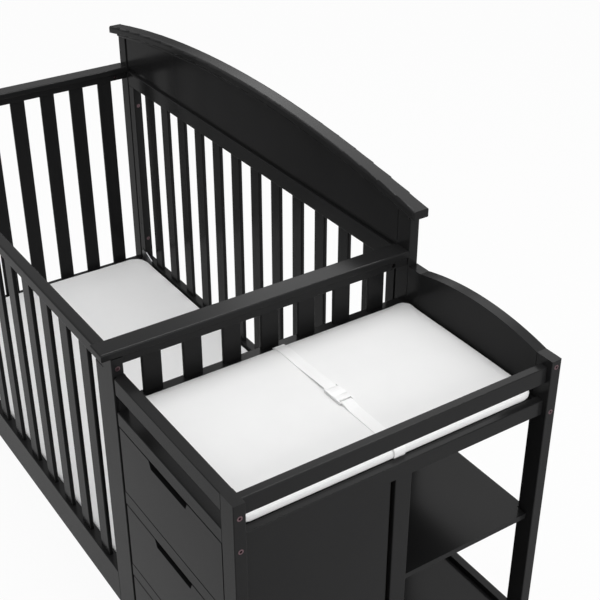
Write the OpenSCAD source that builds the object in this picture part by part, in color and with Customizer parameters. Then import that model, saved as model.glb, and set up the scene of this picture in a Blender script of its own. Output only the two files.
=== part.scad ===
// Crib with an attached changing unit, in millimetres.
// X runs along the crib, Y from the front to the headboard, Z up from the floor.
// The crib stands on two front legs and two headboard posts. The changing unit
// shares the crib's middle leg and stands on three posts of its own.

/* [Crib] */
// Length over the outer faces of the crib's legs
crib_len = 1421; // [1300:1:1600]
// Depth from the front faces to the back of the headboard
depth = 750; // [700:1:850]
// Thickness of the posts, stiles and rails
board_t = 25; // [22:1:30]
// Height of the end panels over their caps
end_h = 910; // [860:1:960]
// Underside of the crib's bottom rails above the floor
rail_z = 187; // [150:1:200]
// Radius of the eased edges
ease_r = 2; // [1:0.5:4]

/* [End panels] */
// Width of a front leg
leg_w = 40; // [36:1:48]
// Width of an end panel's cap
cap_w = 49; // [46:1:60]
// Thickness of an end panel's cap
cap_t = 18; // [14:1:24]
// Radius of the cap's edges
cap_r = 4; // [2:0.5:6]
// How far the cap stands out in front of the leg
cap_nose = 20; // [12:1:24]
// Gap between the cap's inner side and the crib's inside at the left end
cap_reach = 1; // [0:0.5:4]
// Setback of the rails from the faces of the leg
end_rail_set = 5; // [3:1:8]
// Height of the rail under the cap
end_rail_h = 19; // [18:1:30]
// Height of the bottom rail
end_low_h = 55; // [50:1:75]
// Distance from the leg's inner face to the middle of the slats
end_slat_in = 14.5; // [12:0.5:20]
// Width of a slat in an end panel
end_slat_w = 43; // [30:1:46]
// Number of slats in an end panel
end_slats = 7; // [6:1:8]

/* [Slats] */
// Width of a slat in the front and the headboard
slat_w = 43; // [36:1:48]
// Thickness of every slat
slat_t = 10; // [8:1:12]
// Number of slats in the front and in the headboard
slats = 12; // [11:1:13]
// Radius of a slat's edges
slat_r = 2.5; // [1:0.5:3]
// Depth of a slat's end in its rail
tenon = 10; // [6:1:11]
// Clearance round a slat's end
fit = 0.15; // [0.1:0.05:0.3]

/* [Front] */
// Height of the front's top rail
front_rail_h = 29; // [26:1:36]
// How far the top rail lies under the top of the end caps
front_drop = 27; // [22:1:32]
// How far the top rail stands out inside the crib
front_lip = 2; // [0:0.5:4]
// Width of the front's end stiles
front_stile_w = 37; // [34:1:44]
// Height of the front's bottom rail
front_low_h = 93; // [80:1:100]

/* [Headboard] */
// Width of a headboard post
head_post_w = 43; // [42:1:50]
// Shadow gap between the posts and the frame
shadow = 5; // [3:1:8]
// Width of the frame's stiles
head_stile_w = 31; // [28:1:40]
// How far the frame's top lies under the top of the end caps
head_frame_drop = 13; // [0:1:25]
// Height of the frame's top rail
head_rail_h = 43; // [36:1:50]
// Height of the frame's bottom rail
head_low_h = 80; // [60:1:90]
// Height of the groove between the frame and the arched panel
groove_h = 16; // [10:1:20]
// Thickness of the arched panel
panel_t = 19; // [16:1:22]
// Height of the cap's ends over the frame
crest_ends = 116; // [95:1:140]
// Rise of the arch over the cap's ends
arch_rise = 70; // [40:1:110]
// Overhang of the cap at the outer end
head_cap_out = 50; // [25:1:60]
// Overhang of the cap at the changing unit's end
head_cap_in = 16; // [5:1:20]
// Thickness of the headboard cap
head_cap_t = 20; // [16:1:24]
// Overhang of the headboard cap in front
head_cap_front = 6; // [5:1:10]
// Overhang of the headboard cap at the back
head_cap_back = 13; // [8:1:16]
// Radius of the headboard cap's upper edges
head_cap_r = 7; // [3:0.5:9]
// Radius of its corners, seen from above
head_cap_corner = 7; // [5:1:12]
// Size of the cove moulding under the cap
cove = 8; // [6:1:10]

/* [Mattress] */
// Top of the mattress at its lowest setting
bed_z = 264; // [255:1:275]
// Thickness of the mattress
bed_t = 130; // [100:1:150]
// Gap between the mattress and the leg at each end
bed_end_gap = 15; // [12:1:25]
// Gap between the mattress and the front and back boards
bed_side_gap = 9; // [8:1:15]
// Corner radius of the mattress
bed_corner = 60; // [40:5:80]
// Crown of the mattress
bed_crown = 3; // [1:1:6]
// Distance between two settings of the mattress's height
setting = 93; // [70:1:100]
// Number of settings
settings = 4; // [3:1:5]
// Lowest hole for the support's brackets
hole_z = 201; // [190:1:215]
// Top of the support's brackets
bracket_top = 291; // [280:1:300]

/* [Changing unit] */
// Width of the changing unit beside the crib
unit_w = 454; // [420:1:600]
// Width of its right posts
unit_post_w = 44; // [40:1:50]
// Width of its back post beside the crib
unit_inner_w = 42; // [36:1:50]
// Height of the slot between the guard rails and the rails round the deck
guard_slot = 41; // [20:1:60]
// Height of the guard rails
guard_h = 39; // [34:1:44]
// Top of the rails round the deck
deck_rail_z = 774; // [755:1:785]
// Height of the rails round the deck
deck_rail_h = 34; // [30:1:40]
// Drop of the deck under the top of its rails
deck_drop = 7; // [4:1:12]
// Thickness of the deck
deck_t = 15; // [12:1:18]
// Width of the strip between the crib's leg and the rails
strip_w = 8; // [6:1:10]
// Setback of the strip from the front
strip_set = 6; // [4:1:10]
// Setback of the right side's boards from the posts' outer faces
side_set = 12; // [8:1:16]
// Thickness of the right side's rails
side_rail_t = 19; // [16:1:20]
// Thickness of the unit's side panels
side_panel_t = 15; // [12:1:18]
// Recess between the right side panel and the middle post
side_recess = 12; // [8:1:20]
// Width of the middle post
mid_post_d = 39; // [30:1:50]
// Underside of the bottom rails above the floor
unit_z = 140; // [120:1:160]
// Height of the rails between and under the drawers
divider_h = 34; // [28:1:40]
// How far the ends of the arched back stand over the guard rails
back_over = 18; // [8:1:31]
// Rise of the arched back over its ends
back_rise = 23; // [10:1:40]
// Top of the middle shelf
shelf_z = 475; // [420:1:520]
// Thickness of the shelves
shelf_t = 13; // [12:1:18]
// Top of the back's bottom rail
back_rail_z = 178; // [165:1:190]
// Top of the bottom shelf
low_shelf_z = 164; // [160:1:173]
// Thickness of the back's bottom rail
back_rail_t = 21; // [18:1:25]
// Gap between the middle shelf and the front of the back post
notch_d = 2; // [1:1:10]
// Distance from the middle shelf's back edge to the back of the posts
shelf_back = 12; // [2:1:20]
// Setback of the middle shelf from the right side's boards
shelf_in = 5; // [0:1:10]

/* [Drawers] */
// Gap round a drawer front
front_gap = 2; // [1:0.5:3]
// Thickness of a drawer front
front_t = 18; // [15:1:20]
// Width of the finger notch at its top
finger_w = 151; // [120:1:170]
// Depth of the finger notch
finger_d = 17; // [14:1:22]
// Run-in of the finger notch's ends
finger_in = 7.5; // [4:0.5:12]
// Thickness of a drawer's sides and back
box_t = 12; // [10:1:15]
// Height of a drawer's sides
box_h = 118; // [100:1:125]
// Length of a drawer box
box_d = 305; // [270:1:340]
// Space between a drawer box and the board behind it
box_back_gap = 33.9; // [15:0.1:40]
// Space between a drawer box's right runner and the post
box_side_gap = 4; // [2:0.5:8]
// Thickness of a drawer's bottom
bottom_t = 4; // [3:1:6]
// Width taken by a runner pair
runner_w = 12.7; // [12:0.1:14]
// Height of a runner
runner_h = 35; // [30:1:40]
// Length of a runner
runner_d = 300; // [260:10:300]
// Wall of a runner
runner_wall = 1.2; // [1:0.1:1.6]

/* [Changing pad] */
// Thickness of the pad
pad_t = 24; // [18:1:30]
// Gap between the pad and the front and back boards
pad_side_gap = 3; // [1:1:15]
// Gap between the strap round the pad and the right rail
pad_end_gap = 1; // [0.5:0.5:10]
// Gap between the strap round the pad and the crib
pad_in_gap = 0.5; // [0.5:0.5:10]
// Corner radius of the pad
pad_corner = 30; // [20:5:80]
// Crown of the pad
pad_crown = 4; // [1:1:6]
// Width of the strap
strap_w = 26; // [20:1:38]
// Thickness of the strap
strap_t = 1.6; // [1.2:0.1:2.5]
// Length of the buckle
buckle_l = 64; // [50:1:75]
// Place of the buckle's middle along the pad
buckle_at = 210; // [150:1:250]

/* [Fixings] */
// Diameter of the bolt heads
head_d = 11; // [9:0.5:13]
// Diameter of the bolts
bolt_d = 6; // [5:0.5:6]
// Length of the bolts
bolt_l = 70; // [66:1:76]
// Diameter of the barrel nuts
nut_d = 10; // [9:0.5:12]

/* [Hidden] */
$fn = 32;

// Places that several pieces share
play = 0.1;
clear = 0.3;
over = 1;
x_right = crib_len + unit_w;
x_low = -head_cap_out;
y_low = -cap_nose;
y_high = depth + head_cap_back;
back_y = depth - board_t;
leg_h = end_h - cap_t;
end_rail_t = leg_w - 2 * end_rail_set;
front_top = end_h - front_drop;
stile_h = front_top - front_rail_h;

// Headboard
frame_x = head_post_w + shadow;
frame_in = frame_x + head_stile_w;
head_frame_z = end_h - head_frame_drop;
head_rail_z = head_frame_z - head_rail_h;
panel_z = head_frame_z + groove_h;
chord = crib_len + head_cap_out + head_cap_in;
arch_x = (crib_len + head_cap_in - head_cap_out) / 2;
crest_h = head_frame_z + crest_ends + arch_rise;
arch_r = (chord * chord / 4 + arch_rise * arch_rise) / (2 * arch_rise);
arch_z = crest_h - arch_r;
arch_half = asin((chord / 2 + over) / (arch_r - head_cap_t));
arch_fn = 1440;
tongue_t = 9;
cove_set = 1;
cove_hollow = 3.75;

// Changing unit
bay_x = crib_len + strip_w;
post_x = x_right - unit_post_w;
side_x = x_right - side_set;
inner_x = crib_len + side_panel_t;
panel_in_x = side_x - side_panel_t;
side_rail_x = side_x - side_rail_t;
deck_z = deck_rail_z - deck_drop;
deck_low = deck_z - deck_t;
opening_z = deck_rail_z - deck_rail_h;
drawers = 3;
drawer_h = (opening_z - unit_z) / drawers - divider_h;
guard_z = deck_rail_z + guard_slot + guard_h;
back_end_z = guard_z + back_over;
mid_post_y = front_t + play + box_d + box_back_gap;
side_panel_d = mid_post_y - side_recess - board_t;
bay_y = mid_post_y + side_panel_t;
low_z = unit_z + divider_h;
back_chord = unit_w - unit_post_w - unit_inner_w;
back_r = (back_chord * back_chord / 4 + back_rise * back_rise) / (2 * back_rise);

// Drawers, from the top one down
function drawer_z(i) = opening_z - drawer_h - i * (drawer_h + divider_h);
box_lift = 14;
box_x = inner_x + runner_w;
box_w = post_x - box_side_gap - runner_w - box_x;
cleat_w = panel_in_x - (box_x + box_w + runner_w);
runner_z = 40;
groove_z = 8;

// Mattress and its support
frame_plate = 3;
angle_w = 20;
angle_t = 2;
strap_steel_t = 1.5;
strap_steel_w = 30;
steel_straps = 13;
bed_low = bed_z - bed_t;
support_top = bed_low - clear - strap_steel_t;
support_y = board_t + clear + frame_plate + play;
support_d = depth - 2 * board_t - 2 * (clear + frame_plate + play);
support_x = leg_w + bed_end_gap;
support_l = crib_len - 2 * support_x;
angle_z = support_top - angle_w;
bracket_w = 27;
bracket_lip = 3;
bracket_step = 40;
bracket_flat = 22;
bracket_reach = 60;
bracket_slope = 17;
bracket_head = 3;
bracket_socket = 2;
hole_d = 5;
hole_depth = 18;

// Pad
strap_gap = 0.5;
pad_x = crib_len + pad_in_gap + strap_gap + strap_t;
pad_l = side_rail_x - pad_end_gap - strap_gap - strap_t - pad_x;
pad_y = board_t + pad_side_gap;
pad_w = depth - 2 * board_t - 2 * pad_side_gap;
pad_z = deck_z + clear;

// Fixings
head_h = 5;
socket_af = 5;
socket_d = 3;
nut_l = 14;
nut_back = 8;
bore_play = 0.3;
bore_deep = 2;

// Moves the model so that the middle of its base is the origin.
module place() {
    translate([-(x_low + x_right) / 2, -(y_low + y_high) / 2, 0]) children();
}

// The lower half of a rectangle with rounded corners, or with square ones at 0.
module half_eased(w, h, r) {
    translate([r, 0]) square([w - 2 * r, h]);
    translate([0, r]) square([w, h - r]);
    if (r > 0) for (x = [r, w - r]) translate([x, r]) circle(r);
}

// A rectangle with rounded corners, whose two lower ones may have a radius of their own.
module eased(w, h, r, low) {
    half_eased(w, h / 2, is_undef(low) ? r : low);
    translate([0, h]) mirror([0, 1]) half_eased(w, h / 2, r);
}

// Extrudes a Y-Z profile along X.
module along_x(l) {
    rotate([90, 0, 90]) linear_extrude(l) children();
}

// Extrudes an X-Z profile along Y.
module along_y(l) {
    translate([0, l, 0]) rotate([90, 0, 0]) linear_extrude(l) children();
}

module rail_x(l, w, h) {
    along_x(l) eased(w, h, ease_r);
}

module rail_y(l, w, h, low) {
    along_y(l) eased(w, h, ease_r, low);
}

module post(w, d, h) {
    linear_extrude(h) eased(w, d, ease_r);
}

// A post with square corners on its right side, where another piece lies flush with it.
module flush_post(w, d, h) {
    translate([w, 0, 0]) rotate([0, 0, 90]) linear_extrude(h) eased(d, w, ease_r, 0);
}

// Turns a post that stands at X = 0 to the right-hand end of a length.
module at_far_end(l) {
    translate([l, 0, 0]) mirror([1, 0, 0]) children();
}

// Black lacquer, in the preview
module lacquer() {
    color([0.12, 0.12, 0.13]) children();
}

module cloth() {
    color([0.93, 0.93, 0.92]) children();
}

module steel() {
    color([0.62, 0.63, 0.65]) children();
}

// Bolts: each entry is a point on the face that the head sits in, the turn about Z
// that points local X into the wood, and the length.
head_bolt_drop = 59;
head_bolt_rise = 149;
head_bolt_z = [head_rail_z - head_bolt_drop, rail_z + head_bolt_rise];
front_bolt_z = [front_top - front_rail_h / 2, rail_z + front_low_h / 2];
end_bolt_z = [leg_h - end_rail_h / 2, rail_z + end_low_h / 2];
unit_bolt_in = 8;
head_bolt_grip = 25.8;
head_bolt_l = head_stile_w + shadow + head_bolt_grip;
mid_y = board_t / 2;
head_y = depth - mid_y;

unit_bolts = [
    [[x_right, mid_y, guard_z - guard_h + unit_bolt_in], 180],
    [[x_right, mid_y, opening_z + unit_bolt_in], 180],
    [[x_right, head_y, back_end_z - 2 * unit_bolt_in], 180],
    [[x_right, head_y, opening_z + unit_bolt_in], 180],
];
front_bolts = [for (z = front_bolt_z) for (s = [0, 1])
    [[s * crib_len, mid_y, z], s * 180]];
end_bolts = [for (z = end_bolt_z) for (x = [leg_w / 2, crib_len - leg_w / 2])
    [[x, depth, z], -90]];
head_bolts = [for (z = head_bolt_z) for (s = [0, 1])
    [[s == 0 ? frame_in : crib_len - frame_in, head_y, z], 180 - s * 180]];

module at_bolts(list) {
    for (b = list) translate(b[0]) rotate([0, 0, b[1]]) rotate([0, 90, 0]) children();
}

// One bolt: its head at Z = 0 and its shank along +Z.
module bolt(l) {
    difference() {
        union() {
            cylinder(d = head_d, h = head_h);
            cylinder(d = bolt_d, h = l);
        }
        translate([0, 0, -over])
            cylinder(d = socket_af / cos(30), h = socket_d + over, $fn = 6);
    }
}

// The barrel nut that the bolt runs into.
module barrel_nut(l) {
    translate([0, 0, l - nut_back]) rotate([90, 0, 0]) difference() {
        cylinder(d = nut_d, h = nut_l, center = true);
        rotate([90, 0, 0])
            cylinder(d = bolt_d + 2 * play, h = nut_d + 2 * over, center = true);
    }
}

// What a bolt and its nut need cut away. The nut goes in from the side that s names.
module bore(l, s) {
    translate([0, 0, -over]) cylinder(d = head_d + 2 * bore_play, h = head_h + over + play);
    cylinder(d = bolt_d + 2 * bore_play, h = l + bore_deep);
    translate([0, -s * nut_l / 2 - s * play, l - nut_back]) rotate([-s * 90, 0, 0])
        cylinder(d = nut_d + 2 * play, h = nut_l + board_t);
}

module unit_bores() {
    at_bolts(unit_bolts) bore(bolt_l, -1);
}

module front_bores() {
    for (b = front_bolts) at_bolts([b]) bore(bolt_l, b[1] == 0 ? 1 : -1);
}

module end_bores() {
    at_bolts(end_bolts) bore(bolt_l, 1);
}

module head_bores() {
    for (b = head_bolts) at_bolts([b]) bore(head_bolt_l, b[1] == 0 ? 1 : -1);
}

// Evenly spaced copies between two faces.
module spread(n, w, span) {
    gap = (span - n * w) / (n + 1);
    for (i = [0 : n - 1]) translate([gap + i * (gap + w), 0, 0]) children();
}

// ---- Headboard ----

// The area under the headboard's arch, at a depth below its top line.
module under_arch(drop) {
    intersection() {
        translate([arch_x, arch_z]) circle(arch_r - drop, $fn = arch_fn);
        translate([x_low, 0]) square([chord, crest_h]);
    }
}

// Cuts a post to the arch and drills it.
module head_post() {
    lacquer() difference() {
        intersection() {
            translate([0, back_y, 0]) children();
            translate([0, back_y - over, 0]) along_y(board_t + 2 * over)
                under_arch(head_cap_t + play);
        }
        head_bores();
        end_bores();
    }
}

module headboard_post_left() {
    place() head_post() post(head_post_w, board_t, crest_h);
}

module headboard_post_right() {
    place() head_post() at_far_end(crib_len) flush_post(head_post_w, board_t, crest_h);
}

// The arched panel, with a thin tongue down to the frame and out to the posts.
module headboard_panel() {
    x0 = head_post_w;
    w = crib_len - 2 * head_post_w;
    place() lacquer() {
        translate([0, head_y - panel_t / 2, 0]) along_y(panel_t) intersection() {
            under_arch(head_cap_t + play);
            translate([x0 + shadow, panel_z]) square([w - 2 * shadow, crest_h]);
        }
        translate([0, head_y - tongue_t / 2, 0]) along_y(tongue_t) intersection() {
            under_arch(head_cap_t + play);
            translate([x0, head_frame_z]) square([w, crest_h]);
        }
    }
}

// Sweeps a profile, radius by depth, along the arch.
module arch_sweep() {
    translate([arch_x, depth, arch_z]) rotate([90, 0, 0]) rotate([0, 0, 90 - arch_half])
        rotate_extrude(angle = 2 * arch_half, $fn = arch_fn) children();
}

// What rounds the cap's upper edge at its right-hand end, or at the left one.
module cap_end_cut(s) {
    translate([arch_x, back_y - depth, arch_z]) rotate([0, s * arch_half, 0])
        translate([0, 0, arch_r]) mirror([s < 0 ? 1 : 0, 0, 0]) along_y(2 * depth)
            translate([-head_cap_r - over, -head_cap_r]) difference() {
                square(2 * head_cap_r);
                circle(head_cap_r + over / 2);
            }
}

// The cap follows the arch. Its upper edges are rounded, and so are its corners.
module headboard_cap() {
    d = board_t + head_cap_front + head_cap_back;
    place() lacquer() difference() {
        intersection() {
            arch_sweep() translate([arch_r - head_cap_t, d - head_cap_back]) rotate(-90)
                eased(d, head_cap_t, head_cap_r, ease_r);
            translate([x_low, back_y - head_cap_front - over, head_frame_z])
                linear_extrude(crest_h) eased(chord, d + 2 * over, head_cap_corner);
        }
        for (s = [-1, 1]) cap_end_cut(s);
    }
}

// A cove moulding in the corner under the cap, in front of the posts.
module headboard_moulding() {
    left = asin(arch_x / arch_r);
    right = asin((crib_len - arch_x) / arch_r);
    t = head_cap_front - cove_set;
    place() lacquer() translate([arch_x, back_y, arch_z]) rotate([90, 0, 0])
        rotate([0, 0, 90 - right]) rotate_extrude(angle = left + right, $fn = arch_fn)
            translate([arch_r - head_cap_t - cove, 0]) difference() {
                square([cove, t]);
                translate([0, t]) circle(cove_hollow);
            }
}

module head_stile(x) {
    translate([x, back_y, rail_z]) post(head_stile_w, board_t, head_rail_z - rail_z);
}

// The tongues that fill the shadow gap beside the posts.
module shadow_tongues(z, h) {
    for (x = [head_post_w, crib_len - frame_x])
        translate([x, head_y - tongue_t / 2, z]) cube([shadow, tongue_t, h]);
}

// Holes for the mattress support's bolts, one for each setting.
module setting_holes(x, y, turn) {
    for (i = [0 : settings - 1])
        translate([x, y, hole_z + i * setting]) rotate([turn, 0, 0])
            cylinder(d = hole_d, h = hole_depth);
}

module headboard_stiles() {
    far = crib_len - frame_x - head_stile_w;
    place() lacquer() difference() {
        union() {
            head_stile(frame_x);
            head_stile(far);
            shadow_tongues(rail_z, head_rail_z - rail_z);
        }
        head_bores();
        for (x = [frame_x, far]) setting_holes(x + head_stile_w / 2, back_y - over, -90);
    }
}

// A slat, or its mortise where it is grown by a clearance.
module slat(w, grow, l) {
    translate([-grow, -grow, 0]) linear_extrude(l)
        eased(w + 2 * grow, slat_t + 2 * grow, slat_r + grow);
}

module head_slats(grow, l) {
    translate([frame_in, head_y - slat_t / 2, rail_z + head_low_h - tenon])
        spread(slats, slat_w, crib_len - 2 * frame_in) slat(slat_w, grow, l);
}

slat_head_l = head_rail_z - rail_z - head_low_h + 2 * tenon;

// The top rail lies over the stiles, the bottom rail between them.
module headboard_top_rail() {
    place() lacquer() difference() {
        union() {
            translate([frame_x, back_y, head_rail_z])
                rail_x(crib_len - 2 * frame_x, board_t, head_rail_h);
            shadow_tongues(head_rail_z, head_rail_h);
        }
        head_slats(fit, slat_head_l + fit);
    }
}

module headboard_bottom_rail() {
    place() lacquer() difference() {
        translate([frame_in, back_y, rail_z])
            rail_x(crib_len - 2 * frame_in, board_t, head_low_h);
        head_slats(fit, slat_head_l + fit);
    }
}

module headboard_slats() {
    place() lacquer() head_slats(0, slat_head_l);
}

// ---- End panels: the left one and the middle one face each other ----

module end_leg() {
    flush_post(leg_w, board_t, leg_h);
}

// A cap with rounded edges on its sides and at its front end.
module end_cap(x) {
    l = back_y + cap_nose;
    lacquer() translate([x, -cap_nose, leg_h]) intersection() {
        along_y(l) eased(cap_w, cap_t, cap_r);
        translate([-over, 0, -over]) along_x(cap_w + 2 * over)
            eased(l + 2 * cap_r, cap_t + 2 * over, cap_r + over);
    }
}

module end_slat_row(x, grow, l) {
    translate([x - slat_t / 2, board_t, rail_z + end_low_h - tenon]) rotate([0, 0, 90])
        mirror([0, 1, 0]) spread(end_slats, end_slat_w, back_y - board_t)
            slat(end_slat_w, grow, l);
}

slat_end_l = leg_h - end_rail_h - rail_z - end_low_h + 2 * tenon;

module end_rail(x, slat_x, z, h) {
    lacquer() difference() {
        translate([x + end_rail_set, board_t, z]) rail_y(back_y - board_t, end_rail_t, h);
        end_slat_row(slat_x, fit, slat_end_l + fit);
        end_bores();
    }
}

left_slat_x = leg_w - end_slat_in;
middle_x = crib_len - leg_w;
middle_slat_x = middle_x + end_slat_in;
top_z = leg_h - end_rail_h;

module left_leg() {
    place() lacquer() difference() {
        end_leg();
        front_bores();
    }
}

module left_cap() {
    place() end_cap(leg_w + cap_reach - cap_w);
}

module left_top_rail() {
    place() end_rail(0, left_slat_x, top_z, end_rail_h);
}

module left_bottom_rail() {
    place() end_rail(0, left_slat_x, rail_z, end_low_h);
}

module left_slats() {
    place() lacquer() end_slat_row(left_slat_x, 0, slat_end_l);
}

module middle_leg() {
    place() lacquer() difference() {
        at_far_end(crib_len) end_leg();
        front_bores();
    }
}

module middle_cap() {
    place() end_cap(crib_len - cap_w);
}

module middle_top_rail() {
    place() end_rail(middle_x, middle_slat_x, top_z, end_rail_h);
}

// The bottom rail, and the rail beside the deck, which the slats pass through.
module middle_bottom_rail() {
    place() {
        end_rail(middle_x, middle_slat_x, rail_z, end_low_h);
        end_rail(middle_x, middle_slat_x, opening_z, deck_rail_h);
    }
}

module middle_slats() {
    place() lacquer() end_slat_row(middle_slat_x, 0, slat_end_l);
}

// ---- Front ----

front_in = leg_w + front_stile_w;
slat_front_l = stile_h - rail_z - front_low_h + 2 * tenon;

module front_slat_row(grow, l) {
    translate([front_in, mid_y - slat_t / 2, rail_z + front_low_h - tenon])
        spread(slats, slat_w, crib_len - 2 * front_in) slat(slat_w, grow, l);
}

// A stile, square on the side that lies flush against a leg.
module front_stile() {
    translate([0, 0, rail_z]) flush_post(front_stile_w, board_t, stile_h - rail_z);
}

module front_top_rail() {
    place() lacquer() difference() {
        translate([leg_w, 0, stile_h]) along_x(crib_len - 2 * leg_w)
            eased(board_t + front_lip, front_rail_h, 2 * ease_r);
        front_slat_row(fit, slat_front_l + fit);
        front_bores();
    }
}

module front_bottom_rail() {
    place() lacquer() difference() {
        translate([front_in, 0, rail_z]) rail_x(crib_len - 2 * front_in, board_t, front_low_h);
        front_slat_row(fit, slat_front_l + fit);
    }
}

module front_stiles() {
    far = crib_len - front_in;
    place() lacquer() difference() {
        union() {
            translate([far, 0, 0]) front_stile();
            translate([leg_w, 0, 0]) at_far_end(front_stile_w) front_stile();
        }
        front_bores();
        for (x = [leg_w, far])
            setting_holes(x + front_stile_w / 2, board_t + over, 90);
    }
}

module front_slats() {
    place() lacquer() front_slat_row(0, slat_front_l);
}

// ---- Mattress support ----

// An angle bar along X with its flat side up.
module angle_bar(l) {
    along_x(l) translate([0, -angle_w]) union() {
        square([angle_t, angle_w]);
        translate([0, angle_w - angle_t]) square([angle_w, angle_t]);
    }
}

module support_frame() {
    end_l = support_d - 2 * angle_w - 2 * play;
    end_y = support_y + angle_w + play;
    place() steel() {
        translate([support_x, support_y, support_top]) angle_bar(support_l);
        translate([support_x, support_y + support_d, support_top]) mirror([0, 1, 0])
            angle_bar(support_l);
        translate([support_x, end_y, support_top]) mirror([1, 0, 0]) rotate([0, 0, 90])
            angle_bar(end_l);
        translate([support_x + support_l, end_y, support_top]) rotate([0, 0, 90])
            angle_bar(end_l);
    }
}

module support_straps() {
    place() steel() translate([support_x, support_y, support_top])
        spread(steel_straps, strap_steel_w, support_l)
            cube([strap_steel_w, support_d, strap_steel_t]);
}

// A bracket in the X-Z plane, its back at Y = 0 and its bolt's line at X = 0. It hangs
// from the bolt on the stile and carries the frame. Its top slopes towards the middle.
module bracket() {
    top = bracket_top - angle_z;
    bolt_z = hole_z - angle_z;
    half = bracket_w / 2;
    translate([0, frame_plate, 0]) rotate([90, 0, 0]) linear_extrude(frame_plate) polygon([
        [-half, 0],
        [-half, top - bracket_step],
        [-bracket_lip, top - bracket_step + half - bracket_lip],
        [-bracket_lip, top - bracket_lip],
        [bracket_lip, top],
        [bracket_flat, top],
        [bracket_reach, top - bracket_slope],
        [bracket_reach, 0],
    ]);
    translate([0, frame_plate, bolt_z]) rotate([-90, 0, 0]) difference() {
        cylinder(d = head_d, h = bracket_head);
        translate([0, 0, bracket_head - bracket_socket])
            cylinder(d = socket_af / cos(30), h = bracket_head, $fn = 6);
    }
}

module support_brackets() {
    front_x = leg_w + front_stile_w / 2;
    head_x = frame_x + head_stile_w / 2;
    place() steel() for (s = [0, 1]) {
        translate([s * crib_len, 0, angle_z]) mirror([s, 0, 0]) {
            translate([front_x, board_t + clear, 0]) bracket();
            translate([head_x, back_y - clear, 0]) mirror([0, 1, 0]) bracket();
        }
    }
}

// ---- Soft pieces ----

// A point of a rounded outline, l by w with corners of radius r: corner c, step s.
function outline_point(l, w, r, c, s, n) =
    let (
        a = 90 * c + 90 * s / n,
        cx = (c == 0 || c == 3) ? l / 2 - r : r - l / 2,
        cy = c < 2 ? w / 2 - r : r - w / 2
    )
    [cx + r * cos(a), cy + r * sin(a)];

// A ring of the cushion: inset from its outline, at a height.
function cushion_ring(l, w, r, inset, z, n) = [
    for (c = [0 : 3]) for (s = [0 : n])
        let (p = outline_point(l - 2 * inset, w - 2 * inset, max(r - inset, ring_r), c, s, n))
        [p[0], p[1], z]
];

// Sides and top of a cushion: [inset, height] pairs from the bottom seam to the crown.
function cushion_steps(t, edge, crown, draw) = concat(
    [for (i = [0 : edge_steps])
        let (a = i * 90 / edge_steps) [edge * (1 - sin(a)), edge * (1 - cos(a))]],
    [[draw, t / 2 - (t / 2 - edge) / 2], [waist * draw, t / 2],
     [draw, t / 2 + (t / 2 - edge) / 2]],
    [for (i = [0 : edge_steps])
        let (a = i * 90 / edge_steps)
        [edge * (1 - cos(a)), t - crown - edge * (1 - sin(a))]]
);

// How far in from its rounded edge a crown goes on rising.
function crown_reach(l, w, edge) = min(l, w) / 2 - edge - crown_flat;

// How high the crown stands at a share of the way in from the edge.
function crown_at(share) = 1 - pow(1 - share, 2);

module cushion(l, w, t, r, edge, crown, draw) {
    n = 8;
    m = 4 * (n + 1);
    crown_rings = 5;
    reach = crown_reach(l, w, edge);
    sides = cushion_steps(t, edge, crown, draw);
    tops = [for (i = [1 : crown_rings])
        [edge + reach * pow(i / crown_rings, 2),
         t - crown + crown * crown_at(pow(i / crown_rings, 2))]];
    steps = concat(sides, tops);
    k = len(steps);
    points = [for (s = steps) each cushion_ring(l, w, r, s[0], s[1], n)];
    walls = [for (j = [0 : k - 2]) for (i = [0 : m - 1])
        let (a = j * m + i, b = j * m + (i + 1) % m)
        each [[a, a + m, b + m], [a, b + m, b]]];
    bottom = [for (i = [1 : m - 2]) [0, i, i + 1]];
    top = [for (i = [1 : m - 2]) [(k - 1) * m, (k - 1) * m + i + 1, (k - 1) * m + i]];
    translate([l / 2, w / 2, 0]) polyhedron(points, concat(walls, bottom, top), convexity = 4);
}

edge_steps = 4;
waist = 1.4;
crown_flat = 12;
ring_r = 8;
bed_edge = 14;
bed_draw = 1.5;

module mattress() {
    x = leg_w + bed_end_gap;
    y = board_t + bed_side_gap;
    place() cloth() translate([x, y, bed_low])
        cushion(crib_len - 2 * x, depth - 2 * y, bed_t, bed_corner, bed_edge, bed_crown,
            bed_draw);
}

pad_edge = 7;
pad_draw = 1;

module changing_pad() {
    place() cloth() translate([pad_x, pad_y, pad_z])
        cushion(pad_l, pad_w, pad_t, pad_corner, pad_edge, pad_crown, pad_draw);
}

// The pad's outline across its middle, as height over the place along it.
function pad_top(x) =
    let (
        in = min(x, pad_l - x),
        reach = crown_reach(pad_l, pad_w, pad_edge),
        share = min(max(in - pad_edge, 0) / reach, 1)
    )
    in < pad_edge
        ? pad_t - pad_crown - pad_edge + sqrt(max(pow(pad_edge, 2) - pow(pad_edge - in, 2), 0))
        : pad_t - pad_crown + pad_crown * crown_at(share);

strap_y = pad_y + pad_w / 2 - strap_w / 2;
strap_end = 2;
strap_steps = 24;
strap_in_buckle = 8;
buckle_t = 6;
buckle_side = 2;
buckle_r = 3;
buckle_split = 2;
buckle_tongue = 8;
buckle_wall = 1;

// The strap's line over the pad, from one place along it to another, lifted by a gap.
function strap_line(a, b, gap) = [
    for (i = [0 : strap_steps]) let (x = a + (b - a) * (1 - cos(i * 180 / strap_steps)) / 2)
        [x, pad_top(min(max(x, 0), pad_l)) + gap]
];

module strap_side() {
    end = buckle_at - buckle_l / 2 + strap_in_buckle;
    inner = strap_line(-strap_gap, end, strap_gap);
    outer = strap_line(-strap_gap - strap_t, end, strap_gap + strap_t);
    back = [for (i = [strap_steps : -1 : 0]) outer[i]];
    polygon(concat([[-strap_gap - strap_t, strap_end], [-strap_gap, strap_end]], inner, back));
}

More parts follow.
